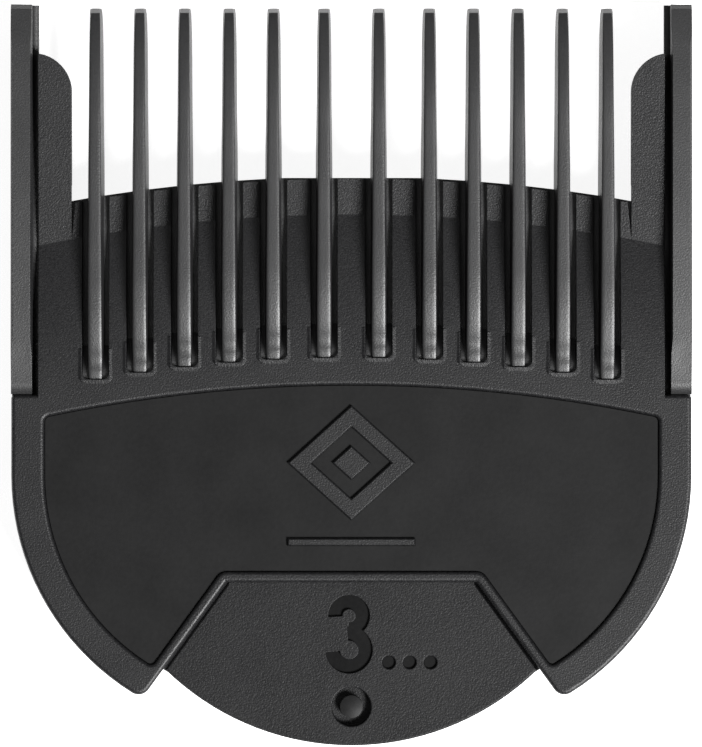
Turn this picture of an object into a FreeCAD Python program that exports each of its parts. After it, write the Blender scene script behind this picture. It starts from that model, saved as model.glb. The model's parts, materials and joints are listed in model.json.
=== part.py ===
"""Clip-on guard comb for a 46 mm clipper blade, in millimetres.

The comb lies with its outer (skin) side up and its teeth towards +Y. X is across, the origin is at the
middle of its footprint. Places along the comb are given as a distance back from the rail tips, and
behind() turns such a distance into Y.
"""
import FreeCAD, Part
import math
import os

from FreeCAD import Vector

# overall
WIDTH = 49.0                 # across the side walls
LENGTH = 53.4                # rail tips to the end of the tail
HALF = WIDTH / 2
TIP_Y = LENGTH / 2

# levels above the side walls' feet
SEAT_Z = 5.0                 # the blade lies against this level
PLATE_Z = 5.8                # top of the bridging plate, underside of the outer frame
FRAME_Z = 7.2                # outer face of the frame
PANEL_Z = 6.9                # outer face of the smooth panel
RECESS_Z = 6.4               # floor of the panel's recess
CREST_Z = 8.3                # crests of the teeth: 3 mm cut
RAIL_Z = 7.9
FOOT_Z = 7.3                 # where a crest runs out into the frame
TAB_Z = 6.3                  # outer face of the release tab
TAB_UNDER_Z = 4.7

# blade and side walls
BLADE_WIDTH = 46.0
BLADE_PLAY = 0.1
POCKET_HALF = BLADE_WIDTH / 2 + BLADE_PLAY
BLADE_FRONT = 5.8
PLATE_REAR = 39.6
PLATE_LIP = 0.15             # the plate shows as a narrow edge ahead of the web
TOOTH_UNDER_Z = 5.1          # the teeth stay just clear of the blade
WALL_RAMP = (33.4, 40.2)     # the side walls run up into the frame between these

# teeth
TOOTH_X = (1.97, 5.62, 8.80, 12.02, 15.23, 18.43)
TOOTH_TIP = 0.26
CREST_EDGE = 0.12
TOOTH_ROOT = 12.0            # where the teeth leave the web
SLOT_WIDTH = 1.94
SLOT_CORNER = 0.45
SLOT_MARGIN = 2.0            # land between a slot's end and the panel
RIM = 0.3                    # raised lip round each slot's end
RIM_RISE = 0.08
RIM_LENGTH = 2.2

# web: every cross feature is concentric with its front edge
WEB_FRONT = 12.5
WEB_RADIUS = 117.0
FACET_DEPTH = 2.6
FACET_RISE = 0.2
EAR_SLOPE = math.tan(math.radians(4))     # the ears rise towards their tips
VALLEY_REAR = 26.0
VALLEY_RADIUS = 62.0

# rails and ears
RAIL_FOOT = 28.1
EAR_EDGE = 22.56             # the frame stops here beside a rail
RAIL_INNER = 23.0
GROOVE_Z = 5.9               # floor of the groove between a rail and its ear
EAR_INNER = 20.16
EAR_CENTRE = (22.9, 6.25)
EAR_RADIUS = 2.74

# rear outline
SIDE_END = 33.9
OUTER_RADIUS = 18.45
TIP_RADIUS = 0.9
NOTCH_CORNER = (9.0, 41.61)
NOTCH_ANGLE = math.radians(54)
EDGE_RADIUS = 0.3            # outer edges of the frame
TIP_LINE_END = 51.0          # the notch's sides are drawn on to here before the tips are rounded

# panel
PANEL_HALF = 22.1
PANEL_TOP = 27.4
PANEL_ARC = 107.0
BORDER = 2.4
BAND = 0.8
PANEL_GAP = 0.03
RECESS_RADIUS = 0.28

# emblem on the panel
EMBLEM_CENTRE = 33.0
EMBLEM_SIZE = (9.2, 8.3)
EMBLEM_STROKE = 0.62         # inner outline of the ring, as a share of the outer one
EMBLEM_HEART = 0.3
EMBLEM_SINK = 0.2
EMBLEM_BEVEL = 0.1
BAR_BACK = 38.7
BAR_SIZE = (9.2, 0.55)

# release tab and its hinge
TAB_ARC = (34.2, 19.2)       # centre, and radius of the tail
TAB_GAP = 0.13
TAB_NOSE = 41.4
HINGE_BACK = 42.6
HINGE_Z = 5.2
PIN_R = 0.4
PIN_PLAY = 0.03
BARREL_R = 0.95
BARREL_HALF = 8.6
LUG = (10.75, 12.55)
SPRING_HALF = 1.35
SPRING_R = 0.53
SPRING_WIRE = 0.2
SPRING_LENGTH = 2.2
SPRING_LEGS = (1.0, 1.8)     # forwards over the pin, and back into the tab
LEG_POCKET_Z = 5.4
TAB_SKIN = 0.3               # left over the spring
NOSE_CAVITY = (41.0, 6.35)
SEAT_SPAN = (41.4, 47.9)      # the frame's sides slope in under the tab's edges between these
TAB_SEAT = ((-0.05, 5.8), (0.35, 5.8), (0.0, 6.25), (-0.05, 6.25))
TAB_RELIEF = ((-0.3, 3.0), (0.55, 3.0), (0.55, 5.72), (0.16, 6.2), (-0.3, 6.2))

# catch
RIVET_BACK = 50.6
RING_R = 1.4
RIVET_R = 0.82
SHANK_R = 0.6
CATCH_WIDTH = 5.0
CATCH_THICK = 0.4
CATCH_PATH = ((51.9, 4.5), (46.0, 4.5), (44.8, 2.2), (40.15, 2.2))

# size mark
MARK_SINK = 0.25
MARK_THICK = 0.2
MARK_CHAMFER = 0.07
NUMERAL_CENTRE = (-0.17, 45.4)
NUMERAL_BOWLS = ((1.36, 1.5, 183, 268), (-1.1, 1.7, 95, 186))    # offset, radius, open from and to
NUMERAL_STROKE = 1.02
DOT_X = (2.7, 4.2, 5.7)
DOT_BACK = 47.4
DOT_R = 0.45

# magnets
MAGNET_X = (-13.0, 0.0, 13.0)
MAGNET_BACK = 32.6
MAGNET_R = 4.0
MAGNET_THICK = 1.0
MAGNET_INSET = 0.05
POCKET_PLAY = 0.05
KEEPER_SIZE = (35.0, 5.6)

ABOVE = 20.0                 # more than the comb's height, for cutting tools


def behind(distance):
    return TIP_Y - distance


def point(x, distance, z=0.0):
    return Vector(x, behind(distance), z)


def line(a, b):
    return Part.LineSegment(a, b).toShape()


def arc(centre, radius, a, b):
    """The short arc from a to b round a centre."""
    middle = (a + b) * 0.5 - centre
    middle.normalize()
    return Part.Arc(a, centre + middle * radius, b).toShape()


def mirrored(edges):
    """The edges of one side, and the same edges on the other side of the comb."""
    return edges + [edge.mirror(Vector(0, 0, 0), Vector(1, 0, 0)) for edge in edges]


def prism(edges, low, high):
    """A closed outline, drawn from low to high."""
    wire = Part.Wire(Part.__sortEdges__(edges))
    face = Part.Face(wire)
    solid = face.extrude(Vector(0, 0, high - low))
    solid.translate(Vector(0, 0, low))
    return solid


def polygon(points, low, high):
    corners = points + points[:1]
    return prism([line(a, b) for a, b in zip(corners, corners[1:])], low, high)


def box(x0, x1, back0, back1, z0, z1):
    """A block between two distances behind the tips."""
    return Part.makeBox(x1 - x0, back1 - back0, z1 - z0, Vector(x0, behind(back1), z0))


def side_profile(points, half_width, centre_x=0.0):
    """A side view, given as (distance, z), drawn across the comb."""
    corners = [Vector(centre_x - half_width, behind(d), z) for d, z in points]
    wire = Part.makePolygon(corners + corners[:1])
    return Part.Face(wire).extrude(Vector(2 * half_width, 0, 0))


def upright(solid, chosen):
    """The vertical edges whose x and distance chosen() accepts."""
    found = []
    for edge in solid.Edges:
        a, b = edge.Vertexes[0].Point, edge.Vertexes[-1].Point
        if abs(a.x - b.x) < 1e-6 and abs(a.y - b.y) < 1e-6 and chosen(abs(a.x), TIP_Y - a.y):
            found.append(edge)
    return found


def level_edges(solid, z, chosen):
    """The edges that lie at one height and whose middle chosen() accepts."""
    found = []
    for edge in solid.Edges:
        middle = edge.valueAt((edge.FirstParameter + edge.LastParameter) / 2)
        bounds = edge.BoundBox
        if abs(bounds.ZMin - z) < 1e-5 and abs(bounds.ZMax - z) < 1e-5:
            if chosen(abs(middle.x), TIP_Y - middle.y):
                found.append(edge)
    return found


def on_arc(centre, radius, x=None, distance=None):
    """A point of a circle given by its centre (x, distance), at one x or one distance."""
    if x is not None:
        return point(x, centre[1] + math.sqrt(radius ** 2 - (x - centre[0]) ** 2))
    return point(centre[0] + math.sqrt(radius ** 2 - (distance - centre[1]) ** 2), distance)


def notch_x(distance):
    """Half the width of the tail's notch at a distance behind the tips."""
    return NOTCH_CORNER[0] + (distance - NOTCH_CORNER[1]) / math.tan(NOTCH_ANGLE)


def crossing(centre, radius, offset):
    """Where the notch's side, moved out by offset, meets a circle of the rear outline."""
    low, high = NOTCH_CORNER[1], centre[1] + radius
    for _ in range(60):
        middle = (low + high) / 2
        x = notch_x(middle) + offset / math.sin(NOTCH_ANGLE)
        inside = math.hypot(x - centre[0], middle - centre[1]) < radius
        low, high = (middle, high) if inside else (low, middle)
    return point(notch_x(low) + offset / math.sin(NOTCH_ANGLE), low)


def web_edge(setback):
    """Front edge of the web, moved back, as (arc start on the axis, centre)."""
    return point(0, WEB_FRONT + setback), point(0, WEB_FRONT + WEB_RADIUS)


def slot_end(x):
    """Distance of a slot's end: parallel to the panel's top edge."""
    return PANEL_TOP - SLOT_MARGIN + x * x / (2 * PANEL_ARC)


def frame_outline(low, high):
    """The frame seen from above, with the bays for the two rails left out."""
    rear_centre = (HALF - OUTER_RADIUS, SIDE_END)
    web_start, web_centre = web_edge(0)
    web_drop = WEB_RADIUS - math.sqrt(WEB_RADIUS ** 2 - EAR_INNER ** 2)
    web_end = point(EAR_INNER, WEB_FRONT + web_drop)
    ear_bottom = point(EAR_INNER, EAR_CENTRE[1])
    ear_rise = math.sqrt(EAR_RADIUS ** 2 - (EAR_CENTRE[0] - EAR_EDGE) ** 2)
    ear_top = point(EAR_EDGE, EAR_CENTRE[1] - ear_rise)
    tip = crossing(rear_centre, OUTER_RADIUS, 0)
    edges = [
        arc(web_centre, WEB_RADIUS, web_start, web_end),
        line(web_end, ear_bottom),
        arc(point(*EAR_CENTRE), EAR_RADIUS, ear_bottom, ear_top),
        line(ear_top, point(EAR_EDGE, RAIL_FOOT)),
        line(point(EAR_EDGE, RAIL_FOOT), point(HALF, RAIL_FOOT)),
        line(point(HALF, RAIL_FOOT), point(HALF, SIDE_END)),
        arc(point(*rear_centre), OUTER_RADIUS, point(HALF, SIDE_END), tip),
        line(tip, point(*NOTCH_CORNER)),
        line(point(*NOTCH_CORNER), point(0, NOTCH_CORNER[1])),
    ]
    solid = prism(mirrored(edges), low, high)
    tips = upright(solid, lambda x, d: abs(d - (TIP_Y - tip.y)) < 1e-4)
    return solid.makeFillet(TIP_RADIUS, tips)


def panel_outline(inset, low, high):
    """The recess and the panel seen from above, drawn in by inset."""
    rear_centre = (HALF - OUTER_RADIUS, SIDE_END)
    radius = OUTER_RADIUS - BORDER - inset
    half = PANEL_HALF - inset
    top = point(0, PANEL_TOP + inset)
    top_centre = point(0, PANEL_TOP + PANEL_ARC)
    shoulder_drop = (PANEL_ARC - inset) - math.sqrt((PANEL_ARC - inset) ** 2 - half ** 2)
    shoulder = point(half, PANEL_TOP + inset + shoulder_drop)
    toe = crossing(rear_centre, radius, BAND + inset)
    knee_x = NOTCH_CORNER[0] + (BAND + inset) * math.tan(NOTCH_ANGLE / 2)
    knee = point(knee_x, NOTCH_CORNER[1] - BAND - inset)
    edges = [
        arc(top_centre, PANEL_ARC - inset, top, shoulder),
        line(shoulder, point(half, SIDE_END)),
        arc(point(*rear_centre), radius, point(half, SIDE_END), toe),
        line(toe, knee),
        line(knee, point(0, NOTCH_CORNER[1] - BAND - inset)),
    ]
    solid = prism(mirrored(edges), low, high)
    corners = (shoulder, toe)
    small = upright(solid, lambda x, d: any(abs(x - c.x) + abs(d - TIP_Y + c.y) < 1e-3 for c in corners))
    solid = solid.makeFillet(0.4, small)
    knees = upright(solid, lambda x, d: abs(x - knee.x) + abs(d - TIP_Y + knee.y) < 1e-3)
    return solid.makeFillet(TIP_RADIUS, knees)


def valley_cutter():
    """Takes the outer face down from the frame's level to the web's front facet."""
    centre_y = behind(WEB_FRONT + WEB_RADIUS)
    inner = WEB_RADIUS - (VALLEY_REAR - WEB_FRONT)
    facet = WEB_RADIUS - FACET_DEPTH
    run = facet - inner
    drop = VALLEY_RADIUS - math.sqrt(VALLEY_RADIUS ** 2 - run ** 2)
    half_drop = VALLEY_RADIUS - math.sqrt(VALLEY_RADIUS ** 2 - (run / 2) ** 2)
    outer = WEB_RADIUS + 14.0
    start = Vector(0, inner, FRAME_Z)
    half_way = Vector(0, inner + run / 2, FRAME_Z - half_drop)
    floor = Vector(0, facet, FRAME_Z - drop)
    lip = Vector(0, WEB_RADIUS, FRAME_Z - drop + FACET_RISE)
    out = Vector(0, outer, lip.z + (outer - WEB_RADIUS) * EAR_SLOPE)
    edges = [
        Part.Arc(start, half_way, floor).toShape(),
        line(floor, lip),
        line(lip, out),
        line(out, Vector(0, outer, ABOVE)),
        line(Vector(0, outer, ABOVE), Vector(0, inner, ABOVE)),
        line(Vector(0, inner, ABOVE), start),
    ]
    face = Part.Face(Part.Wire(edges))
    sweep = 13.0
    face.rotate(Vector(0, 0, 0), Vector(0, 0, 1), -sweep)
    solid = face.revolve(Vector(0, 0, 0), Vector(0, 0, 1), 2 * sweep)
    solid.translate(Vector(0, centre_y, 0))
    return solid


def slot_cutter(x):
    """The slot that one tooth stands in: open at the web's front, rounded at its end."""
    end = slot_end(abs(x))
    solid = box(x - SLOT_WIDTH / 2, x + SLOT_WIDTH / 2, WEB_FRONT - 2, end, PLATE_Z - 1, ABOVE)
    corners = [e for e in upright(solid, lambda _, d: abs(d - end) < 1e-6)]
    return solid.makeFillet(SLOT_CORNER, corners)


def rim(x0, x1, end):
    """Low lip round the end of a slot: it has sloping flanks and fades out towards the web."""
    def outline(inset, z):
        a, b = x0 - RIM + inset, x1 + RIM - inset
        rear, front = end + RIM - inset, end - RIM_LENGTH
        return Part.makePolygon([point(a, front, z), point(a, rear, z), point(b, rear, z),
                                 point(b, front, z), point(a, front, z)])
    height = RIM_RISE + 0.5
    slope = 0.25 / RIM_RISE
    low = outline(-0.5 * slope, FRAME_Z - 0.5)
    high = outline(0.25, FRAME_Z + RIM_RISE)
    solid = Part.makeLoft([low, high], True, True)
    tilt = math.degrees(math.atan(RIM_RISE / (RIM_LENGTH + RIM)))
    solid.rotate(point(0, end + RIM, FRAME_Z + RIM_RISE), Vector(1, 0, 0), -tilt)
    keep = box(x0 - RIM, x1 + RIM, end - RIM_LENGTH, end + RIM, FRAME_Z - height / 2, ABOVE)
    corners = upright(keep, lambda _, d: abs(d - end - RIM) < 1e-6)
    return solid.common(keep.makeFillet(SLOT_CORNER + RIM, corners))


def ear_relief(side):
    """Narrow wedge cut between an ear and the web."""
    x0, x1 = EAR_INNER - 0.36, EAR_INNER + 0.02
    points = [point(side * x0, 13.0), point(side * x1, 13.0), point(side * x1, 17.0)]
    return polygon(points, PLATE_Z - 1, ABOVE)


def keeper_shape(grow, low, high):
    half = KEEPER_SIZE[0] / 2 + grow
    reach = KEEPER_SIZE[1] / 2 + grow
    solid = box(-half, half, MAGNET_BACK - reach, MAGNET_BACK + reach, low, high)
    return solid.makeFillet(1.0, upright(solid, lambda x, d: True))


def magnet_shape(x, grow, low, high):
    return Part.makeCylinder(MAGNET_R + grow, high - low, point(x, MAGNET_BACK, low))


def along_notch(section, span, side):
    """A bar along one side of the notch. Its section is given as (distance into the notch, z)."""
    inwards = Vector(-math.sin(NOTCH_ANGLE), -math.cos(NOTCH_ANGLE), 0)
    start, end = (point(notch_x(d), d) for d in span)
    corners = [start + inwards * s + Vector(0, 0, z) for s, z in section]
    bar = Part.Face(Part.makePolygon(corners + corners[:1])).extrude(end - start)
    if side < 0:
        bar = bar.mirror(Vector(0, 0, 0), Vector(1, 0, 0))
    return bar


def make_lug(side):
    """Ear under the frame that holds one end of the hinge pin."""
    x0 = LUG[0] if side > 0 else -LUG[1]
    width = LUG[1] - LUG[0]
    reach = BARREL_R + 0.1
    round_end = Part.makeCylinder(reach, width, point(x0, HINGE_BACK, HINGE_Z), Vector(1, 0, 0))
    root = box(x0, x0 + width, HINGE_BACK - reach, HINGE_BACK + reach, HINGE_Z, PLATE_Z + 0.1)
    hole = Part.makeCylinder(PIN_R, width, point(x0, HINGE_BACK, HINGE_Z), Vector(1, 0, 0))
    return round_end.fuse(root).cut(hole)


def make_outer_frame():
    frame = frame_outline(PLATE_Z, FRAME_Z)
    outer_edges = level_edges(frame, FRAME_Z, lambda x, d: d > RAIL_FOOT + 0.1)
    frame = frame.makeFillet(EDGE_RADIUS, outer_edges)
    frame = frame.cut(panel_outline(0, RECESS_Z, ABOVE))
    inside = HALF - 1.0
    recess_edges = level_edges(frame, FRAME_Z, lambda x, d: d > PANEL_TOP - 0.1 and x < inside)
    frame = frame.makeFillet(RECESS_RADIUS, recess_edges)
    frame = frame.cut(valley_cutter())
    rims = [rim(side * x - SLOT_WIDTH / 2, side * x + SLOT_WIDTH / 2, slot_end(x))
            for x in TOOTH_X for side in (-1, 1)]
    frame = frame.fuse(rims)
    slots = [slot_cutter(side * x) for x in TOOTH_X for side in (-1, 1)]
    reliefs = [ear_relief(side) for side in (-1, 1)]
    frame = frame.cut(slots + reliefs)
    cavity_half = NOTCH_CORNER[0]
    cavity_front, cavity_roof = NOSE_CAVITY
    cavity_rear = NOTCH_CORNER[1] + 0.5
    cavity = box(-cavity_half, cavity_half, cavity_front, cavity_rear, PLATE_Z - 1, cavity_roof)
    magnets = [magnet_shape(x, POCKET_PLAY, PLATE_Z - 1, RECESS_Z) for x in MAGNET_X]
    keeper_low = SEAT_Z + MAGNET_INSET + MAGNET_THICK
    frame = frame.cut(magnets + [cavity, keeper_shape(POCKET_PLAY, keeper_low, ABOVE)])
    strips = [along_notch(TAB_SEAT, SEAT_SPAN, side) for side in (-1, 1)]
    return frame.fuse([make_lug(side) for side in (-1, 1)] + strips).removeSplitter()


def tooth_section(distance, half_base, half_crest, lift):
    """Cross-section of a tooth: steep flanks, softened below a narrow flat crest."""
    shoulder, half_shoulder = lift - CREST_EDGE, half_crest + 0.08
    corners = [(-half_base, SEAT_Z - 0.5), (half_base, SEAT_Z - 0.5), (half_shoulder, shoulder),
               (half_crest, lift), (-half_crest, lift), (-half_shoulder, shoulder)]
    points = [point(x, distance, z) for x, z in corners]
    return Part.makePolygon(points + points[:1])


def make_tooth(x):
    """One tooth: its ridge, cut to the side view, on a foot that fills the slot's end."""
    end = slot_end(abs(x))
    front = Part.makeLoft([tooth_section(TOOTH_TIP - 0.1, 0.47, 0.27, CREST_Z),
                           tooth_section(TOOTH_ROOT, 0.605, 0.34, CREST_Z)], True, True)
    rear = Part.makeLoft([tooth_section(TOOTH_ROOT, 0.605, 0.34, CREST_Z),
                          tooth_section(end - 0.05, 0.62, 0.38, CREST_Z)], True, True)
    ridge = front.fuse(rear)
    profile = [(TOOTH_TIP, 5.8), (TOOTH_TIP, 6.5), (TOOTH_TIP + 0.5, 7.0), (3.0, 7.75), (6.5, CREST_Z),
               (end - 4.4, CREST_Z), (end - 1.1, FOOT_Z), (end - 0.05, FOOT_Z),
               (end - 0.05, TOOTH_UNDER_Z), (2.6, TOOTH_UNDER_Z), (0.9, 5.3)]
    tooth = ridge.common(side_profile(profile, 2.0))
    foot_points = [(end - 2.6, TOOTH_UNDER_Z), (end - 2.6, PLATE_Z), (end - 0.6, FRAME_Z - 0.35),
                   (end - 0.02, FRAME_Z - 0.25), (end - 0.02, TOOTH_UNDER_Z)]
    foot = side_profile(foot_points, SLOT_WIDTH / 2 - 0.02)
    foot = foot.makeFillet(SLOT_CORNER, upright(foot, lambda _, d: abs(d - end + 0.02) < 1e-6))
    tooth = tooth.fuse(foot)
    tooth.translate(Vector(x, 0, 0))
    return tooth


def make_rail(side):
    """Side rail: bevelled crest, ledge for the ear, and the side wall beside the blade."""
    section = [(POCKET_HALF, 0), (HALF, 0), (HALF, 7.75), (HALF - 0.15, RAIL_Z), (RAIL_INNER + 0.1, RAIL_Z),
               (RAIL_INNER, 7.7), (RAIL_INNER, GROOVE_Z), (EAR_EDGE, GROOVE_Z), (EAR_EDGE, SEAT_Z + 0.3),
               (POCKET_HALF, SEAT_Z + 0.3)]
    corners = [Vector(side * x, behind(RAIL_FOOT - 0.05), z) for x, z in section]
    face = Part.Face(Part.makePolygon(corners + corners[:1]))
    rail = face.extrude(Vector(0, RAIL_FOOT - 0.05, 0))
    profile = [(0, 3.2), (0, 7.2), (0.35, 7.55), (3.0, RAIL_Z), (RAIL_FOOT - 4.0, RAIL_Z),
               (RAIL_FOOT - 0.9, FOOT_Z), (RAIL_FOOT, FOOT_Z), (RAIL_FOOT, 0), (3.0, 0), (0.9, 0.9)]
    return rail.common(side_profile(profile, WIDTH))


def make_hook(side):
    """Catches one corner of the blade's toothed edge: a stop, and a lip under the blade."""
    x0, x1 = 21.3, POCKET_HALF + 0.2
    profile = [(4.6, SEAT_Z + 0.3), (4.6, 2.6), (5.4, 1.8), (7.4, 1.8), (7.6, 2.5), (BLADE_FRONT, 2.5),
               (BLADE_FRONT, SEAT_Z + 0.3)]
    return side_profile(profile, (x1 - x0) / 2, side * (x0 + x1) / 2)


def make_side_wall(side):
    """The wall behind the rail: straight beside the blade, rounded outside, running up to nothing."""
    rear_centre = (HALF - OUTER_RADIUS, SIDE_END)
    start, end = RAIL_FOOT - 0.1, WALL_RAMP[1] + 0.3
    outer_end = on_arc(rear_centre, OUTER_RADIUS, distance=end)
    edges = [
        line(point(POCKET_HALF, start), point(HALF, start)),
        line(point(HALF, start), point(HALF, SIDE_END)),
        arc(point(*rear_centre), OUTER_RADIUS, point(HALF, SIDE_END), outer_end),
        line(outer_end, point(POCKET_HALF, end)),
        line(point(POCKET_HALF, end), point(POCKET_HALF, start)),
    ]
    wall = prism(edges, 0, PLATE_Z)
    ramp = [(20.0, 0), (WALL_RAMP[0], 0), (WALL_RAMP[1], PLATE_Z), (20.0, PLATE_Z)]
    wall = wall.common(side_profile(ramp, WIDTH))
    if side < 0:
        wall = wall.mirror(Vector(0, 0, 0), Vector(1, 0, 0))
    return wall


def make_plate():
    """Bridging plate between the side walls: the blade lies against its underside."""
    rear_centre = (HALF - OUTER_RADIUS, SIDE_END)
    half = POCKET_HALF + 0.2
    setback = -PLATE_LIP
    web_start, web_centre = web_edge(setback)
    radius = WEB_RADIUS - setback
    web_end = point(half, WEB_FRONT + setback + radius - math.sqrt(radius ** 2 - half ** 2))
    rear_end = on_arc(rear_centre, OUTER_RADIUS - 1.0, distance=PLATE_REAR)
    edges = [
        arc(web_centre, radius, web_start, web_end),
        line(web_end, point(half, SIDE_END)),
        line(point(half, SIDE_END), point(HALF - 1.0, SIDE_END)),
        arc(point(*rear_centre), OUTER_RADIUS - 1.0, point(HALF - 1.0, SIDE_END), rear_end),
        line(rear_end, point(0, PLATE_REAR)),
    ]
    plate = prism(mirrored(edges), SEAT_Z, PLATE_Z)
    return plate.cut([magnet_shape(x, POCKET_PLAY, SEAT_Z - 1, PLATE_Z + 1) for x in MAGNET_X])


def make_ear_shelf(side):
    """Carries the ear, and joins the hook to the rail. It stays clear of the blade."""
    low = SEAT_Z + 0.3
    x0, x1 = 20.6, EAR_EDGE + 0.1
    points = [point(side * x0, 13.6), point(side * x1, 13.6), point(side * x1, 4.6), point(side * 21.3, 4.6),
              point(side * x0, 6.2)]
    return polygon(points, low, PLATE_Z)


def make_tooth_comb():
    pieces = [make_tooth(side * x) for x in TOOTH_X for side in (-1, 1)]
    for side in (-1, 1):
        pieces += [make_rail(side), make_hook(side), make_side_wall(side), make_ear_shelf(side)]
    return make_plate().fuse(pieces).removeSplitter()


def lozenge(scale, low, high):
    a, b = EMBLEM_SIZE[0] / 2 * scale, EMBLEM_SIZE[1] / 2 * scale
    points = [point(-a, EMBLEM_CENTRE), point(0, EMBLEM_CENTRE + b), point(a, EMBLEM_CENTRE),
              point(0, EMBLEM_CENTRE - b)]
    return polygon(points, low, high)


def make_emblem_badge():
    low = PANEL_Z - EMBLEM_SINK
    ring = lozenge(1.0, low, FRAME_Z).cut(lozenge(EMBLEM_STROKE, low - 1, ABOVE))
    pieces = [ring, lozenge(EMBLEM_HEART, low, FRAME_Z)]
    everywhere = lambda x, d: True
    pieces = [p.makeChamfer(EMBLEM_BEVEL, level_edges(p, FRAME_Z, everywhere)) for p in pieces]
    return Part.makeCompound(pieces)


def make_emblem_bar():
    half, reach = BAR_SIZE[0] / 2, BAR_SIZE[1] / 2
    bar = box(-half, half, BAR_BACK - reach, BAR_BACK + reach, PANEL_Z - EMBLEM_SINK, FRAME_Z)
    return bar.makeChamfer(EMBLEM_BEVEL, level_edges(bar, FRAME_Z, lambda x, d: True))


def make_cover_panel(inlays):
    panel = panel_outline(PANEL_GAP, RECESS_Z, PANEL_Z)
    return panel.cut(inlays)


def tab_outline(low, high):
    centre, radius = TAB_ARC
    nose_x = notch_x(NOTCH_CORNER[1]) - TAB_GAP / math.sin(NOTCH_ANGLE)
    corner = crossing((0, centre), radius, -TAB_GAP)
    tail = point(0, centre + radius)
    edges = [
        line(point(0, TAB_NOSE), point(nose_x, TAB_NOSE)),
        line(point(nose_x, TAB_NOSE), point(nose_x, NOTCH_CORNER[1])),
        line(point(nose_x, NOTCH_CORNER[1]), corner),
        arc(point(0, centre), radius, corner, tail),
    ]
    return prism(mirrored(edges), low, high)


def make_release_tab(marks):
    tab = tab_outline(TAB_UNDER_Z, TAB_Z)
    rim_edges = level_edges(tab, TAB_Z, lambda x, d: d > NOTCH_CORNER[1] + 1)
    under_edges = level_edges(tab, TAB_UNDER_Z, lambda x, d: d > NOTCH_CORNER[1] + 5 and x < 9)
    tab = tab.makeChamfer(0.12, rim_edges)
    under_edges = level_edges(tab, TAB_UNDER_Z, lambda x, d: d > NOTCH_CORNER[1] + 5 and x < 9)
    tab = tab.makeChamfer(0.5, under_edges)
    along = Vector(1, 0, 0)
    start = point(-BARREL_HALF, HINGE_BACK, HINGE_Z)
    barrel = Part.makeCylinder(BARREL_R, 2 * BARREL_HALF, start, along)
    bore = Part.makeCylinder(PIN_R + PIN_PLAY, 2 * LUG[0], point(-LUG[0], HINGE_BACK, HINGE_Z), along)
    roof = TAB_Z - TAB_SKIN
    window = box(-SPRING_HALF, SPRING_HALF, TAB_NOSE - 0.3, HINGE_BACK + 1.2, 0, roof)
    leg_end = HINGE_BACK + SPRING_LEGS[1] + 0.15
    leg_pocket = box(0.6, SPRING_HALF, HINGE_BACK, leg_end, LEG_POCKET_Z, roof)
    ring = Part.makeCylinder(RING_R, 1.0, point(0, RIVET_BACK, TAB_Z - 0.9))
    hole = Part.makeCylinder(SHANK_R, 4.0, point(0, RIVET_BACK, TAB_UNDER_Z - 1))
    relief_span = (TAB_NOSE - 0.1, TIP_LINE_END)
    reliefs = [along_notch(TAB_RELIEF, relief_span, side) for side in (-1, 1)]
    tab = tab.cut(reliefs + [ring]).fuse(barrel).cut(marks)
    round_holes = [e for e in level_edges(tab, TAB_Z, lambda x, d: True)
                   if e.isClosed() and e.Curve.TypeId == "Part::GeomCircle"]
    tab = tab.makeChamfer(MARK_CHAMFER, round_holes)
    return tab.cut([bore, window, leg_pocket, hole])


def make_catch_rivet():
    """Domed head in the ring, shank through the tab and the catch, and a formed tail below."""
    base = TAB_Z - 0.9
    dome_start, dome_top = TAB_Z - 0.1, TAB_Z - 0.02
    tail_low = TAB_UNDER_Z - CATCH_THICK - 0.3
    rise = dome_top - dome_start
    dome_radius = (RIVET_R ** 2 + rise ** 2) / (2 * rise)
    head = Part.makeCylinder(RIVET_R, dome_top - base + 0.5, point(0, RIVET_BACK, base))
    ball = Part.makeSphere(dome_radius, point(0, RIVET_BACK, dome_top - dome_radius))
    shank = Part.makeCylinder(SHANK_R, base - tail_low, point(0, RIVET_BACK, tail_low))
    tail = Part.makeCylinder(SHANK_R + 0.35, 0.3, point(0, RIVET_BACK, tail_low))
    return head.common(ball).fuse([shank, tail]).removeSplitter()


def strip_outline(path, thickness):
    """Both sides of a bent strip, mitred at the bends."""
    upper, lower = [], []
    for i, (d, z) in enumerate(path):
        before = path[max(i - 1, 0)]
        after = path[min(i + 1, len(path) - 1)]
        first = Vector(d - before[0], z - before[1], 0) if i else None
        last = Vector(after[0] - d, after[1] - z, 0) if i < len(path) - 1 else None
        parts = [v.normalize() for v in (first, last) if v is not None]
        normals = [Vector(-v.y, v.x, 0) for v in parts]
        mitre = normals[0] + normals[-1]
        mitre.normalize()
        reach = thickness / 2 / mitre.dot(normals[0])
        upper.append((d + mitre.x * reach, z + mitre.y * reach))
        lower.append((d - mitre.x * reach, z - mitre.y * reach))
    return upper + lower[::-1]


def make_heel_catch():
    strip = side_profile(strip_outline(CATCH_PATH, CATCH_THICK), CATCH_WIDTH / 2)
    hole = Part.makeCylinder(SHANK_R, 4.0, point(0, RIVET_BACK, TAB_UNDER_Z - 2))
    return strip.cut(hole)


def bowl(offset, outer, open_from, open_to, low, high):
    """One bowl of the numeral: a ring with a sector cut out of its left side, in degrees."""
    x, back = NUMERAL_CENTRE
    centre = point(x, back - offset, low)
    height = high - low
    ring = Part.makeCylinder(outer, height, centre)
    ring = ring.cut(Part.makeCylinder(outer - NUMERAL_STROKE, height, centre))
    sector = Part.makeCylinder(2 * outer, height, centre, Vector(0, 0, 1), open_to - open_from)
    sector.rotate(centre, Vector(0, 0, 1), open_from)
    return ring.cut(sector)


def make_numeral(low, high):
    bowls = [bowl(*values, low, high) for values in NUMERAL_BOWLS]
    return bowls[0].fuse(bowls[1]).removeSplitter()


def make_dots(low, high):
    return [Part.makeCylinder(DOT_R, high - low, point(x, DOT_BACK, low)) for x in DOT_X]


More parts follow.
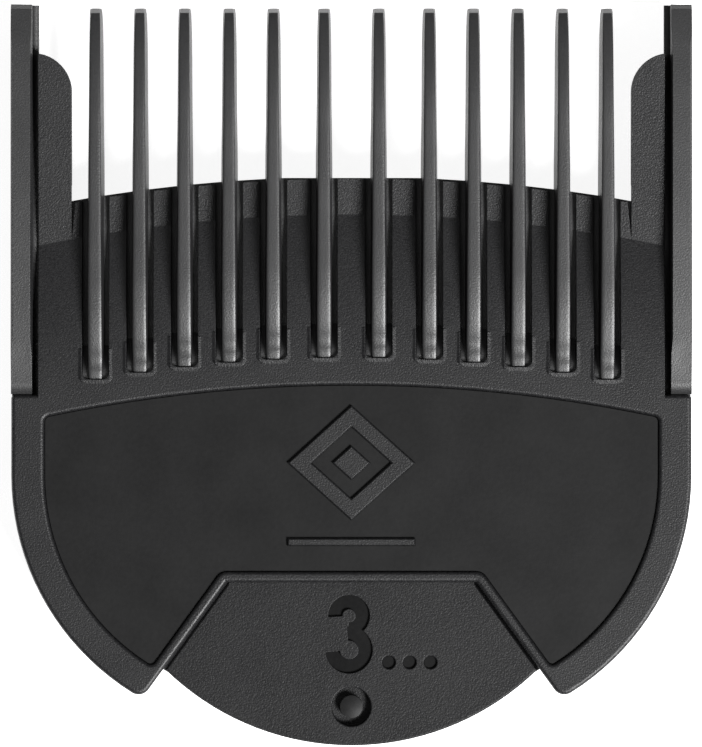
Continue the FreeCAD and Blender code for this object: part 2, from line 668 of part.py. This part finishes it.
def make_hinge_pin():
    pin = Part.makeCylinder(PIN_R, 2 * LUG[1], point(-LUG[1], HINGE_BACK, HINGE_Z), Vector(1, 0, 0))
    return pin.makeChamfer(0.12, [e for e in pin.Edges if e.Curve.TypeId == "Part::GeomCircle"])


def make_torsion_spring():
    """The coil as a sleeve, with its two straight legs."""
    along = Vector(1, 0, 0)
    start = point(-SPRING_LENGTH / 2, HINGE_BACK, HINGE_Z)
    wire_r = SPRING_WIRE / 2
    outer = Part.makeCylinder(SPRING_R + wire_r, SPRING_LENGTH, start, along)
    inner = Part.makeCylinder(SPRING_R - wire_r, SPRING_LENGTH, start, along)
    leg_x = SPRING_LENGTH / 2 - wire_r
    leg_z = HINGE_Z + SPRING_R
    front, rear = SPRING_LEGS
    front_leg = Part.makeCylinder(wire_r, front, point(-leg_x, HINGE_BACK, leg_z), Vector(0, 1, 0))
    rear_leg = Part.makeCylinder(wire_r, rear, point(leg_x, HINGE_BACK, leg_z), Vector(0, -1, 0))
    return outer.fuse([front_leg, rear_leg]).cut(inner)


def make_magnet(x):
    low = SEAT_Z + MAGNET_INSET
    magnet = magnet_shape(x, 0, low, low + MAGNET_THICK)
    return magnet.makeChamfer(0.15, [e for e in magnet.Edges if e.Curve.TypeId == "Part::GeomCircle"])


def main():
    os.makedirs("parts", exist_ok=True)
    mark_high = TAB_Z - MARK_SINK
    mark_low = mark_high - MARK_THICK
    emblem = make_emblem_badge()
    bar = make_emblem_bar()
    mark_tools = [make_numeral(mark_low, TAB_Z + 1)] + make_dots(mark_low, TAB_Z + 1)
    keeper_low = SEAT_Z + MAGNET_INSET + MAGNET_THICK
    nodes = {
        "outer_frame": make_outer_frame(),
        "tooth_comb": make_tooth_comb(),
        "cover_panel": make_cover_panel([emblem, bar]),
        "emblem_badge": emblem,
        "emblem_bar": bar,
        "release_tab": make_release_tab(mark_tools),
        "size_numeral": make_numeral(mark_low, mark_high),
        "size_dots": Part.makeCompound(make_dots(mark_low, mark_high)),
        "catch_rivet": make_catch_rivet(),
        "heel_catch": make_heel_catch(),
        "hinge_pin": make_hinge_pin(),
        "torsion_spring": make_torsion_spring(),
        "keeper_plate": keeper_shape(0, keeper_low, RECESS_Z),
    }
    for name, x in zip(("left", "centre", "right"), MAGNET_X):
        nodes["magnet_" + name] = make_magnet(x)
    for name, shape in nodes.items():
        print(name, "valid" if shape.isValid() else "BAD", len(shape.Solids), round(shape.Volume, 2))
        shape.exportStep("parts/" + name + ".step")


main()
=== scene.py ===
import bpy
import bmesh
import json
import math
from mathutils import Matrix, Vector

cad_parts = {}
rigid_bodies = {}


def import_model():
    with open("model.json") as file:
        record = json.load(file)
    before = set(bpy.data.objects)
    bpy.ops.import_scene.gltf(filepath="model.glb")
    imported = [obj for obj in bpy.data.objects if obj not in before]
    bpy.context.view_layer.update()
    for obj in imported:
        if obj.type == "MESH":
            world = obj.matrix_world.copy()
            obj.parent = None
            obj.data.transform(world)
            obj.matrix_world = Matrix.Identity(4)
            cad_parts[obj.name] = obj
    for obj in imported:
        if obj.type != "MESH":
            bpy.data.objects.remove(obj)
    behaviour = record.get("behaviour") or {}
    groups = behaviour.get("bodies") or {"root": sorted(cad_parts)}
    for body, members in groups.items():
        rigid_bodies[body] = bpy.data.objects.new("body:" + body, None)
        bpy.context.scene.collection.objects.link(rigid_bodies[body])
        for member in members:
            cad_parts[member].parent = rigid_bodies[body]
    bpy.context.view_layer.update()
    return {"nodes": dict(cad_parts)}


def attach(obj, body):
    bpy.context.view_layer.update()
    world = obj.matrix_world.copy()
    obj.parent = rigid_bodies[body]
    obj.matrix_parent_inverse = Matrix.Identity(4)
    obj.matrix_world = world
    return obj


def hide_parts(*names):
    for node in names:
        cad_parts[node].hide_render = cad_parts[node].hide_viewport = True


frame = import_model()
mm = 0.001
cm = 0.01
weld = 1e-7             # points closer than this are one
sliver = 0.001 * mm     # edges shorter than this are closed up
print("guard comb frame loaded")

# whole comb, in millimetres: lengths are measured back from the rail tips
comb = {
    "length": 53.4,
    "plateTop": 5.8,        # of the plate that joins the teeth
    "frameTop": 7.2,
    "slotEnd": 25.4,        # of the slots, on the middle line
    "slotBow": 214.0,       # the slots' ends lie on a shallow curve; more is flatter
}
tipY = comb["length"] / 2


def at(x, back, z):
    return Vector((x, tipY - back, z)) * mm


def slotEnd(x):
    return comb["slotEnd"] + x * x / comb["slotBow"]


# finishes: dark plastics that live by their sheen, and small steel parts

noiseRange = (0.3, 0.7)     # where most of a noise texture lies
plasticWear = {"cloudScale": 260, "cloudSpread": 0.03, "coolness": 0.1, "edgeSamples": 6}
steelWear = {"darkest": 0.9, "smoother": 0.05, "rougher": 0.08, "coolness": 0.01}


def newMaterial(name):
    material = bpy.data.materials.new(name)
    material.use_nodes = True
    tree = material.node_tree
    shader = tree.nodes["Principled BSDF"]
    return material, tree, shader


def noiseNode(tree, coords, scale, detail, roughness=0.5):
    noise = tree.nodes.new("ShaderNodeTexNoise")
    noise.inputs["Scale"].default_value = scale
    noise.inputs["Detail"].default_value = detail
    noise.inputs["Roughness"].default_value = roughness
    tree.links.new(coords, noise.inputs["Vector"])
    return noise.outputs["Fac"]


def spread(tree, value, low, high):
    node = tree.nodes.new("ShaderNodeMapRange")
    for socket, number in zip(("From Min", "From Max", "To Min", "To Max"), (*noiseRange, low, high)):
        node.inputs[socket].default_value = number
    tree.links.new(value, node.inputs["Value"])
    return node.outputs["Result"]


def tint(tree, factor, dark, light):
    mix = tree.nodes.new("ShaderNodeMix")
    mix.data_type = "RGBA"
    mix.inputs["A"].default_value = (*dark, 1)
    mix.inputs["B"].default_value = (*light, 1)
    tree.links.new(factor, mix.inputs["Factor"])
    return mix.outputs["Result"]


def bump(tree, shader, height, distance, below=None):
    node = tree.nodes.new("ShaderNodeBump")
    node.inputs["Strength"].default_value = 1.0
    node.inputs["Distance"].default_value = distance
    tree.links.new(height, node.inputs["Height"])
    if below:
        tree.links.new(below, node.inputs["Normal"])
    tree.links.new(node.outputs["Normal"], shader.inputs["Normal"])


def mouldedPlastic(look):
    material, tree, shader = newMaterial(look["name"])
    coords = tree.nodes.new("ShaderNodeTexCoord").outputs["Object"]
    grain = noiseNode(tree, coords, look["grainScale"], 2.0, 0.6)
    cloud = noiseNode(tree, coords, plasticWear["cloudScale"], 2.0)
    grey, step, cool = look["grey"], look["spread"], plasticWear["coolness"]
    dark = (grey - step, grey - step, grey - step * (1 - cool))
    light = (grey + step, grey + step, grey + step * (1 + cool))
    colour = tint(tree, spread(tree, grain, 0.0, 1.0), dark, light)
    tree.links.new(colour, shader.inputs["Base Color"])
    worn = plasticWear["cloudSpread"]
    rough = spread(tree, cloud, look["rough"] - worn, look["rough"] + worn)
    tree.links.new(rough, shader.inputs["Roughness"])
    shader.inputs["Specular IOR Level"].default_value = look["specular"]
    soft = tree.nodes.new("ShaderNodeBevel")       # slightly rounded edges
    soft.samples = plasticWear["edgeSamples"]
    soft.inputs["Radius"].default_value = look["edge"] * mm
    bump(tree, shader, grain, look["bump"], below=soft.outputs["Normal"])
    return material


def steel(look):
    material, tree, shader = newMaterial(look["name"])
    coords = tree.nodes.new("ShaderNodeTexCoord").outputs["Object"]
    stretch = tree.nodes.new("ShaderNodeMapping")
    stretch.inputs["Scale"].default_value = look["along"]
    tree.links.new(coords, stretch.inputs["Vector"])
    lines = noiseNode(tree, stretch.outputs["Vector"], look["lineScale"], 3.0)
    grey, darkest, cool = look["grey"], steelWear["darkest"], steelWear["coolness"]
    dark = (grey * darkest, grey * darkest, grey * (darkest + cool))
    colour = tint(tree, spread(tree, lines, 0.0, 1.0), dark, (grey, grey, grey * (1 + cool)))
    tree.links.new(colour, shader.inputs["Base Color"])
    smoothest, roughest = look["rough"] - steelWear["smoother"], look["rough"] + steelWear["rougher"]
    tree.links.new(spread(tree, lines, smoothest, roughest), shader.inputs["Roughness"])
    shader.inputs["Metallic"].default_value = 1.0
    bump(tree, shader, lines, look["bump"])
    return material


plastics = {
    "shell": {"name": "texturedShell", "grey": 0.0075, "spread": 0.006, "rough": 0.42,
              "specular": 0.36, "grainScale": 8200, "bump": 0.000024, "edge": 0.08},
    "tab": {"name": "texturedTab", "grey": 0.007, "spread": 0.005, "rough": 0.42,
            "specular": 0.29, "grainScale": 8200, "bump": 0.000024, "edge": 0.08},
    "comb": {"name": "combPlastic", "grey": 0.013, "spread": 0.005, "rough": 0.44,
             "specular": 0.7, "grainScale": 8200, "bump": 0.000016, "edge": 0.05},
    "panel": {"name": "smoothPanel", "grey": 0.0055, "spread": 0.001, "rough": 0.42,
              "specular": 0.23, "grainScale": 3000, "bump": 0.000003, "edge": 0.05},
    "emblem": {"name": "emblemPlastic", "grey": 0.0075, "spread": 0.005, "rough": 0.42,
               "specular": 0.38, "grainScale": 8200, "bump": 0.000024, "edge": 0.05},
    "mark": {"name": "markPlastic", "grey": 0.003, "spread": 0.001, "rough": 0.4,
             "specular": 0.15, "grainScale": 3000, "bump": 0.000002, "edge": 0.03},
    "rivet": {"name": "blackenedRivet", "grey": 0.006, "spread": 0.002, "rough": 0.45,
              "specular": 0.25, "grainScale": 3000, "bump": 0.000004, "edge": 0.02},
}
steels = {
    "catch": {"name": "rolledStrip", "grey": 0.6, "rough": 0.3, "along": (1, 0.05, 1),
              "lineScale": 4000, "bump": 0.000002},
    "pin": {"name": "drawnPin", "grey": 0.6, "rough": 0.25, "along": (0.05, 1, 1),
            "lineScale": 4000, "bump": 0.000001},
    "spring": {"name": "springWire", "grey": 0.5, "rough": 0.28, "along": (1, 1, 1),
               "lineScale": 3000, "bump": 0.000001},
    "magnet": {"name": "nickelPlate", "grey": 0.68, "rough": 0.2, "along": (1, 1, 1),
               "lineScale": 1500, "bump": 0.000001},
    "keeper": {"name": "keeperStrip", "grey": 0.52, "rough": 0.35, "along": (0.05, 1, 1),
               "lineScale": 4000, "bump": 0.000002},
}
finishes = {key: mouldedPlastic(look) for key, look in plastics.items()}
finishes.update({key: steel(look) for key, look in steels.items()})

cadFinish = {
    "outer_frame": "shell", "cover_panel": "panel", "emblem_badge": "emblem", "emblem_bar": "emblem",
    "release_tab": "tab", "size_numeral": "mark", "size_dots": "mark", "catch_rivet": "rivet",
    "heel_catch": "catch", "hinge_pin": "pin", "magnet_left": "magnet", "magnet_centre": "magnet",
    "magnet_right": "magnet", "keeper_plate": "keeper",
}
for node, finish in cadFinish.items():
    slots = frame["nodes"][node].data.materials
    slots.clear()
    slots.append(finishes[finish])
print("finishes made")


# node trees

def newTree(name, sizes):
    tree = bpy.data.node_groups.new(name, "GeometryNodeTree")
    tree.interface.new_socket("Geometry", in_out="INPUT", socket_type="NodeSocketGeometry")
    for label, value in sizes.items():
        kind = "NodeSocketInt" if isinstance(value, int) else "NodeSocketFloat"
        tree.interface.new_socket(label, in_out="INPUT", socket_type=kind).default_value = value
    tree.interface.new_socket("Geometry", in_out="OUTPUT", socket_type="NodeSocketGeometry")
    return tree, tree.nodes.new("NodeGroupInput"), tree.nodes.new("NodeGroupOutput")


def plug(tree, socket, value):
    if isinstance(value, bpy.types.NodeSocket):
        tree.links.new(value, socket)
    else:
        socket.default_value = value


def calc(tree, operation, a, b=0.0, c=0.0):
    node = tree.nodes.new("ShaderNodeMath")
    node.operation = operation
    for socket, value in zip(node.inputs, (a, b, c)):
        plug(tree, socket, value)
    return node.outputs["Value"]


def along(tree, value, points, straight=False):
    node = tree.nodes.new("ShaderNodeFloatCurve")
    node.mapping.use_clip = False
    curve = node.mapping.curves[0]
    for place, (x, y) in zip((0, -1), (points[0], points[-1])):
        curve.points[place].location = (x, y)
    for x, y in points[1:-1]:
        curve.points.new(x, y)
    for point in curve.points:
        point.handle_type = "VECTOR" if straight else "AUTO_CLAMPED"
    node.mapping.update()
    plug(tree, node.inputs["Value"], value)
    return node.outputs["Value"]


def splitVector(tree, vector):
    node = tree.nodes.new("ShaderNodeSeparateXYZ")
    plug(tree, node.inputs[0], vector)
    return node.outputs


def joinVector(tree, x, y, z):
    node = tree.nodes.new("ShaderNodeCombineXYZ")
    for socket, value in zip(node.inputs, (x, y, z)):
        plug(tree, socket, value)
    return node.outputs[0]


def chain(tree, kind, geometry, **values):
    node = tree.nodes.new(kind)
    plug(tree, node.inputs[0], geometry)
    for label, value in values.items():
        plug(tree, node.inputs[label], value)
    return node.outputs[0]


def grow(name, seeds, tree, sizes, finish):
    holder = bpy.data.objects.new(name + "Seeds", seeds)
    bpy.context.scene.collection.objects.link(holder)
    modifier = holder.modifiers.new("nodes", "NODES")
    modifier.node_group = tree
    for item in tree.interface.items_tree:
        if item.item_type == "SOCKET" and item.in_out == "INPUT" and item.name in sizes:
            modifier[item.identifier] = sizes[item.name]
    bpy.context.view_layer.update()
    grown = holder.evaluated_get(bpy.context.evaluated_depsgraph_get())
    mesh = bpy.data.meshes.new_from_object(grown)
    mesh.name = name
    bpy.data.objects.remove(holder)
    mesh.materials.clear()
    mesh.materials.append(finish)
    piece = bpy.data.objects.new(name, mesh)
    bpy.context.scene.collection.objects.link(piece)
    return piece


def smooth(mesh, angle):
    for face in mesh.polygons:
        face.use_smooth = True
    mesh.set_sharp_from_angle(angle=math.radians(angle))


def cadCopy(node, name):
    mesh = frame["nodes"][node].data.copy()
    mesh.name = name
    work = bmesh.new()
    work.from_mesh(mesh)
    bmesh.ops.remove_doubles(work, verts=work.verts, dist=weld)
    flat = math.radians(1)
    bmesh.ops.dissolve_limit(work, angle_limit=flat, verts=work.verts, edges=work.edges)
    work.to_mesh(mesh)
    work.free()
    piece = bpy.data.objects.new(name, mesh)
    bpy.context.scene.collection.objects.link(piece)
    return piece


def cleanUp(piece):
    work = bmesh.new()
    work.from_mesh(piece.data)
    bmesh.ops.remove_doubles(work, verts=work.verts, dist=sliver)
    bmesh.ops.dissolve_degenerate(work, edges=work.edges, dist=sliver)
    work.to_mesh(piece.data)
    work.free()


def bake(piece):
    bpy.context.view_layer.update()
    done = bpy.data.meshes.new_from_object(piece.evaluated_get(bpy.context.evaluated_depsgraph_get()))
    done.name = piece.name
    piece.modifiers.clear()
    piece.data = done


def cutAway(piece, tool):
    modifier = piece.modifiers.new("cut", "BOOLEAN")
    modifier.operation = "DIFFERENCE"
    modifier.solver = "EXACT"
    modifier.object = tool
    bake(piece)
    bpy.data.objects.remove(tool)


def block(name, low, high):
    mesh = bpy.data.meshes.new(name)
    work = bmesh.new()
    bmesh.ops.create_cube(work, size=1)
    for vert in work.verts:
        vert.co = Vector(h if c > 0 else l for c, l, h in zip(vert.co, low, high))
    work.to_mesh(mesh)
    work.free()
    piece = bpy.data.objects.new(name, mesh)
    bpy.context.scene.collection.objects.link(piece)
    return piece


# the teeth: one rounded ridge, grown on every seat along the web

teeth = {
    "places": (1.97, 5.62, 8.80, 12.02, 15.23, 18.43),     # on each side of the middle line
    "tip": 0.26,
    "clearance": 0.03,       # between a tooth and its slot's end
    "squareness": 0.5,       # 1 gives a round crown, less a flatter one
    "flankColumns": 2,       # of the columns, on the left flank
    "crownColumns": 15,      # then over the crown; one closes the underside
    "footRows": 9,
    "smoothAngle": 30,
    "Length": 25.1,          # of a tooth on the middle line
    "Foot width": 1.88,
    "Foot length": 2.6,
    "Underside": 5.1,
    "Rows": 76,
    "Columns": 22,
}
# heights in centimetres and half widths in millimetres, from slot end (0) to tip (1)
crestLine = ((0.0, 0.715), (0.006, 0.727), (0.044, 0.729), (0.08, 0.765), (0.115, 0.790),
             (0.16, 0.811), (0.2, 0.822), (0.267, 0.830), (0.66, 0.830), (0.76, 0.824),
             (0.86, 0.796), (0.95, 0.748), (0.985, 0.718), (0.995, 0.69), (1.0, 0.655))
crestHalf = ((0.0, 0.50), (0.02, 0.52), (0.2, 0.50), (0.4, 0.46), (0.55, 0.44), (0.8, 0.39),
             (0.975, 0.35), (0.99, 0.33), (1.0, 0.27))
baseHalf = ((0.0, 0.60), (0.02, 0.62), (0.55, 0.605), (0.7, 0.56), (0.98, 0.475), (1.0, 0.42))
# how far the crest stands over its own shoulders
crownLine = ((0.0, 0.018), (0.1, 0.017), (0.25, 0.014), (0.9, 0.011), (1.0, 0.010))
underLine = ((0.0, 0.51), (0.9, 0.51), (0.97, 0.535), (1.0, 0.585))
footLine = ((0.0, 0.69), (0.25, 0.685), (0.6, 0.63), (1.0, 0.57))


def toothTree(finish):
    tree, given, result = newTree("toothTree", {k: v for k, v in teeth.items() if k[0].isupper()})
    size = given.outputs
    grid = tree.nodes.new("GeometryNodeMeshGrid")
    plug(tree, grid.inputs["Vertices X"], size["Rows"])
    plug(tree, grid.inputs["Vertices Y"], size["Columns"])
    place = splitVector(tree, tree.nodes.new("GeometryNodeInputPosition").outputs[0])
    row = calc(tree, "ADD", place[0], 0.5)
    turn = calc(tree, "ADD", place[1], 0.5)
    step = calc(tree, "DIVIDE", 1.0, calc(tree, "SUBTRACT", size["Rows"], 1.0))
    inner = calc(tree, "SUBTRACT", row, step)
    share = calc(tree, "DIVIDE", inner, calc(tree, "SUBTRACT", 1.0, calc(tree, "MULTIPLY", step, 2.0)))
    share = calc(tree, "MINIMUM", calc(tree, "MAXIMUM", share, 0.0), 1.0)
    fromMiddle = calc(tree, "ABSOLUTE", calc(tree, "SUBTRACT", row, 0.5))
    endRow = calc(tree, "SUBTRACT", 0.5, calc(tree, "MULTIPLY", step, 0.5))
    closed = calc(tree, "LESS_THAN", fromMiddle, endRow)     # 0 on the end rows, which shrink to a point
    last = teeth["Columns"] - 1
    flank = teeth["flankColumns"] / last
    arch = (teeth["flankColumns"] + teeth["crownColumns"]) / last
    corner = 1 - 1 / last
    angle = calc(tree, "DIVIDE", calc(tree, "SUBTRACT", turn, flank), arch - flank)
    angle = calc(tree, "MINIMUM", calc(tree, "MAXIMUM", angle, 0.0), 1.0)
    angle = calc(tree, "MULTIPLY", angle, math.pi)
    across = calc(tree, "MULTIPLY", calc(tree, "COSINE", angle), -1.0)
    across = calc(tree, "MULTIPLY", calc(tree, "SIGN", across),
                  calc(tree, "POWER", calc(tree, "ABSOLUTE", across), teeth["squareness"]))
    back = along(tree, turn, ((0, 0), (corner, 0), (1, 1)), True)
    across = calc(tree, "SUBTRACT", across, calc(tree, "MULTIPLY", back, 2.0))
    rise = calc(tree, "MAXIMUM", calc(tree, "SINE", angle), 0.0)
    rise = calc(tree, "POWER", rise, teeth["squareness"])
    low = along(tree, turn, ((0, 1), (flank, 0), (arch, 0), (corner, 1), (1, 1)), True)
    crest, under = along(tree, share, crestLine), along(tree, share, underLine)
    crown = along(tree, share, crownLine)
    narrow, wide = along(tree, share, crestHalf), along(tree, share, baseHalf)
    half = calc(tree, "MULTIPLY_ADD", calc(tree, "SUBTRACT", wide, narrow), low, narrow)
    top = calc(tree, "MULTIPLY_ADD", crown, calc(tree, "SUBTRACT", rise, 1.0), crest)
    height = calc(tree, "MULTIPLY_ADD", calc(tree, "SUBTRACT", under, top), low, top)
    middle = calc(tree, "MULTIPLY", calc(tree, "ADD", under, crest), 0.5)
    height = calc(tree, "MULTIPLY_ADD", calc(tree, "SUBTRACT", height, middle), closed, middle)
    across = calc(tree, "MULTIPLY", calc(tree, "MULTIPLY", across, half), closed)
    x = calc(tree, "MULTIPLY", across, mm)
    y = calc(tree, "MULTIPLY", calc(tree, "MULTIPLY", share, size["Length"]), mm)
    z = calc(tree, "MULTIPLY", height, cm)
    ridge = grid.outputs["Mesh"]
    ridge = chain(tree, "GeometryNodeSetPosition", ridge, Position=joinVector(tree, x, y, z))
    ridge = chain(tree, "GeometryNodeMergeByDistance", ridge, Distance=weld)
    ridge = chain(tree, "GeometryNodeFlipFaces", ridge)

    cube = tree.nodes.new("GeometryNodeMeshCube")
    cube.inputs["Size"].default_value = (1, 1, 1)
    cube.inputs["Vertices Y"].default_value = teeth["footRows"]
    spot = splitVector(tree, tree.nodes.new("GeometryNodeInputPosition").outputs[0])
    reach = calc(tree, "ADD", spot[1], 0.5)
    lifted = calc(tree, "GREATER_THAN", spot[2], 0.0)
    ramp = along(tree, reach, footLine)
    floorZ = calc(tree, "MULTIPLY", size["Underside"], mm / cm)
    footZ = calc(tree, "MULTIPLY_ADD", calc(tree, "SUBTRACT", ramp, floorZ), lifted, floorZ)
    footX = calc(tree, "MULTIPLY", calc(tree, "MULTIPLY", spot[0], size["Foot width"]), mm)
    footY = calc(tree, "MULTIPLY", calc(tree, "MULTIPLY", reach, size["Foot length"]), mm)
    footPlace = joinVector(tree, footX, footY, calc(tree, "MULTIPLY", footZ, cm))
    foot = chain(tree, "GeometryNodeSetPosition", cube.outputs["Mesh"], Position=footPlace)

    stretch = tree.nodes.new("GeometryNodeInputNamedAttribute")
    stretch.data_type = "FLOAT"
    stretch.inputs["Name"].default_value = "stretch"
    seats = given.outputs["Geometry"]
    rows = chain(tree, "GeometryNodeInstanceOnPoints", seats, Instance=ridge,
                 Scale=joinVector(tree, 1.0, stretch.outputs[0], 1.0))
    feet = chain(tree, "GeometryNodeInstanceOnPoints", seats, Instance=foot)
    both = tree.nodes.new("GeometryNodeJoinGeometry")
    for geometry in (rows, feet):
        tree.links.new(geometry, both.inputs[0])
    made = chain(tree, "GeometryNodeRealizeInstances", both.outputs[0])
    painted = chain(tree, "GeometryNodeSetMaterial", made, Material=finish)
    tree.links.new(painted, result.inputs[0])
    return tree


seatMesh = bpy.data.meshes.new("toothSeats")
seatX = [side * x for x in teeth["places"] for side in (-1, 1)]
seatBack = [slotEnd(x) - teeth["clearance"] for x in seatX]
seatMesh.from_pydata([at(x, back, 0) for x, back in zip(seatX, seatBack)], [], [])
stretch = seatMesh.attributes.new("stretch", "FLOAT", "POINT")
for value, back in zip(stretch.data, seatBack):
    value.value = (back - teeth["tip"]) / teeth["Length"]
toothRow = grow("toothRow", seatMesh, toothTree(finishes["comb"]), teeth, finishes["comb"])
print("teeth grown:", len(toothRow.data.polygons), "faces")

# the comb without its own plain teeth: they are cut off over the plate, and ahead of it
cuts = {
    "halfWidth": 20.3,       # between the rails
    "rear": 30.0,
    "plateFront": 12.45,
    "overlap": 12.2,         # where the upper cut ends, inside the front one
    "above": 20.0,
    "below": -1.0,
    "pastTips": -1.0,
}
combBody = cadCopy("tooth_comb", "combBody")
side = cuts["halfWidth"]
cutAway(combBody, block("overPlate", at(-side, cuts["rear"], comb["plateTop"]),
                        at(side, cuts["overlap"], cuts["above"])))
cutAway(combBody, block("aheadOfPlate", at(-side, cuts["plateFront"], cuts["below"]),
                        at(side, cuts["pastTips"], cuts["above"])))
cleanUp(combBody)
combBody.data.materials.clear()
combBody.data.materials.append(finishes["comb"])
print("comb body:", len(combBody.data.polygons), "faces")
for piece in (toothRow, combBody):
    smooth(piece.data, teeth["smoothAngle"])
    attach(piece, "comb")
    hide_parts("tooth_comb")


# the torsion spring: a wire bent to its legs and coil, with a round section swept along it

spring = {
    "back": 42.6,
    "height": 5.2,
    "coilRadius": 0.53,
    "turns": 6,
    "steps": 125,            # along the whole coil
    "coilLength": 1.9,
    "frontLeg": 1.0,
    "rearLeg": 1.8,
    "smoothAngle": 50,
    "Wire radius": 0.1 * mm,
    "Wire sides": 12,
}


def wirePath():
    steps, turns = spring["steps"], spring["turns"]
    radius, half = spring["coilRadius"], spring["coilLength"] / 2
    path = [at(-half, spring["back"] - spring["frontLeg"], spring["height"] + radius)]
    for step in range(steps + 1):
        share = step / steps
        angle = math.pi / 2 - math.tau * turns * share
        path.append(at(half * (2 * share - 1), spring["back"] + radius * math.cos(angle),
                       spring["height"] + radius * math.sin(angle)))
    path.append(at(half, spring["back"] + spring["rearLeg"], spring["height"] + radius))
    return path


def wireTree(finish):
    tree, given, result = newTree("wireTree", {k: v for k, v in spring.items() if k[0].isupper()})
    section = tree.nodes.new("GeometryNodeCurvePrimitiveCircle")
    plug(tree, section.inputs["Resolution"], given.outputs["Wire sides"])
    plug(tree, section.inputs["Radius"], given.outputs["Wire radius"])
    line = chain(tree, "GeometryNodeMeshToCurve", given.outputs["Geometry"])
    swept = tree.nodes.new("GeometryNodeCurveToMesh")
    plug(tree, swept.inputs["Curve"], line)
    plug(tree, swept.inputs["Profile Curve"], section.outputs["Curve"])
    swept.inputs["Fill Caps"].default_value = True
    made = chain(tree, "GeometryNodeRealizeInstances", swept.outputs["Mesh"])
    tree.links.new(chain(tree, "GeometryNodeSetMaterial", made, Material=finish), result.inputs[0])
    return tree


path = wirePath()
pathMesh = bpy.data.meshes.new("springPath")
pathMesh.from_pydata(path, [(point, point + 1) for point in range(len(path) - 1)], [])
springWire = grow("springWire", pathMesh, wireTree(finishes["spring"]), spring, finishes["spring"])
smooth(springWire.data, spring["smoothAngle"])
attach(springWire, "comb")
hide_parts("torsion_spring")
print("spring wound:", len(springWire.data.polygons), "faces")



# studio: one softbox from the right and below, a faint sky and a pale floor

studio = {
    "lensDistance": 450.0,
    "viewCentre": (-0.03, 0.134),
    "viewHeight": 53.76,
    "key": {"from": (600, -540, 1050), "size": 470, "power": 36.0},
    "fill": {"from": (-120, 190, 500), "size": 260, "power": 0.1},
    "sky": 0.14,
    "floorGrey": 0.9,
    "floorRough": 0.9,
    "floorGlow": 0.85,
    "floorReach": 2000,
    "floorLevel": -0.02,     # just under the walls' feet
}

camera = bpy.data.cameras.new("camera")
cameraObject = bpy.data.objects.new("camera", camera)
bpy.context.scene.collection.objects.link(cameraObject)
camera.lens = camera.sensor_width * studio["lensDistance"] / studio["viewHeight"]
camera.clip_start, camera.clip_end = 0.01, 10
cx, cy = studio["viewCentre"]
cameraObject.location = Vector((cx, cy, comb["frameTop"] + studio["lensDistance"])) * mm
bpy.context.scene.camera = cameraObject

for name in ("key", "fill"):
    values = studio[name]
    light = bpy.data.lights.new(name, "AREA")
    light.shape = "DISK"
    light.size = values["size"] * mm
    light.energy = values["power"]
    lamp = bpy.data.objects.new(name, light)
    bpy.context.scene.collection.objects.link(lamp)
    lamp.location = Vector(values["from"]) * mm
    lamp.rotation_mode = "QUATERNION"
    lamp.rotation_quaternion = (-lamp.location).to_track_quat("-Z", "Y")

world = bpy.data.worlds.new("studioSky")
bpy.context.scene.world = world
world.use_nodes = True
sky = world.node_tree.nodes["Background"].inputs
sky["Color"].default_value = (1, 1, 1, 1)
sky["Strength"].default_value = studio["sky"]
bpy.context.scene.view_settings.view_transform = "Standard"

floorMesh = bpy.data.meshes.new("floor")
reach, level = studio["floorReach"] * mm, studio["floorLevel"] * mm
floorCorners = [(x * reach, y * reach, level) for x, y in ((-1, -1), (1, -1), (1, 1), (-1, 1))]
floorMesh.from_pydata(floorCorners, [], [(0, 1, 2, 3)])
floor = bpy.data.objects.new("floor", floorMesh)
bpy.context.scene.collection.objects.link(floor)
floorPaint, _, floorShader = newMaterial("paleFloor")
floorShader.inputs["Base Color"].default_value = (*[studio["floorGrey"]] * 3, 1)
floorShader.inputs["Roughness"].default_value = studio["floorRough"]
floorShader.inputs["Emission Color"].default_value = (1, 1, 1, 1)
floorShader.inputs["Emission Strength"].default_value = studio["floorGlow"]
floorMesh.materials.append(floorPaint)
print("studio set")
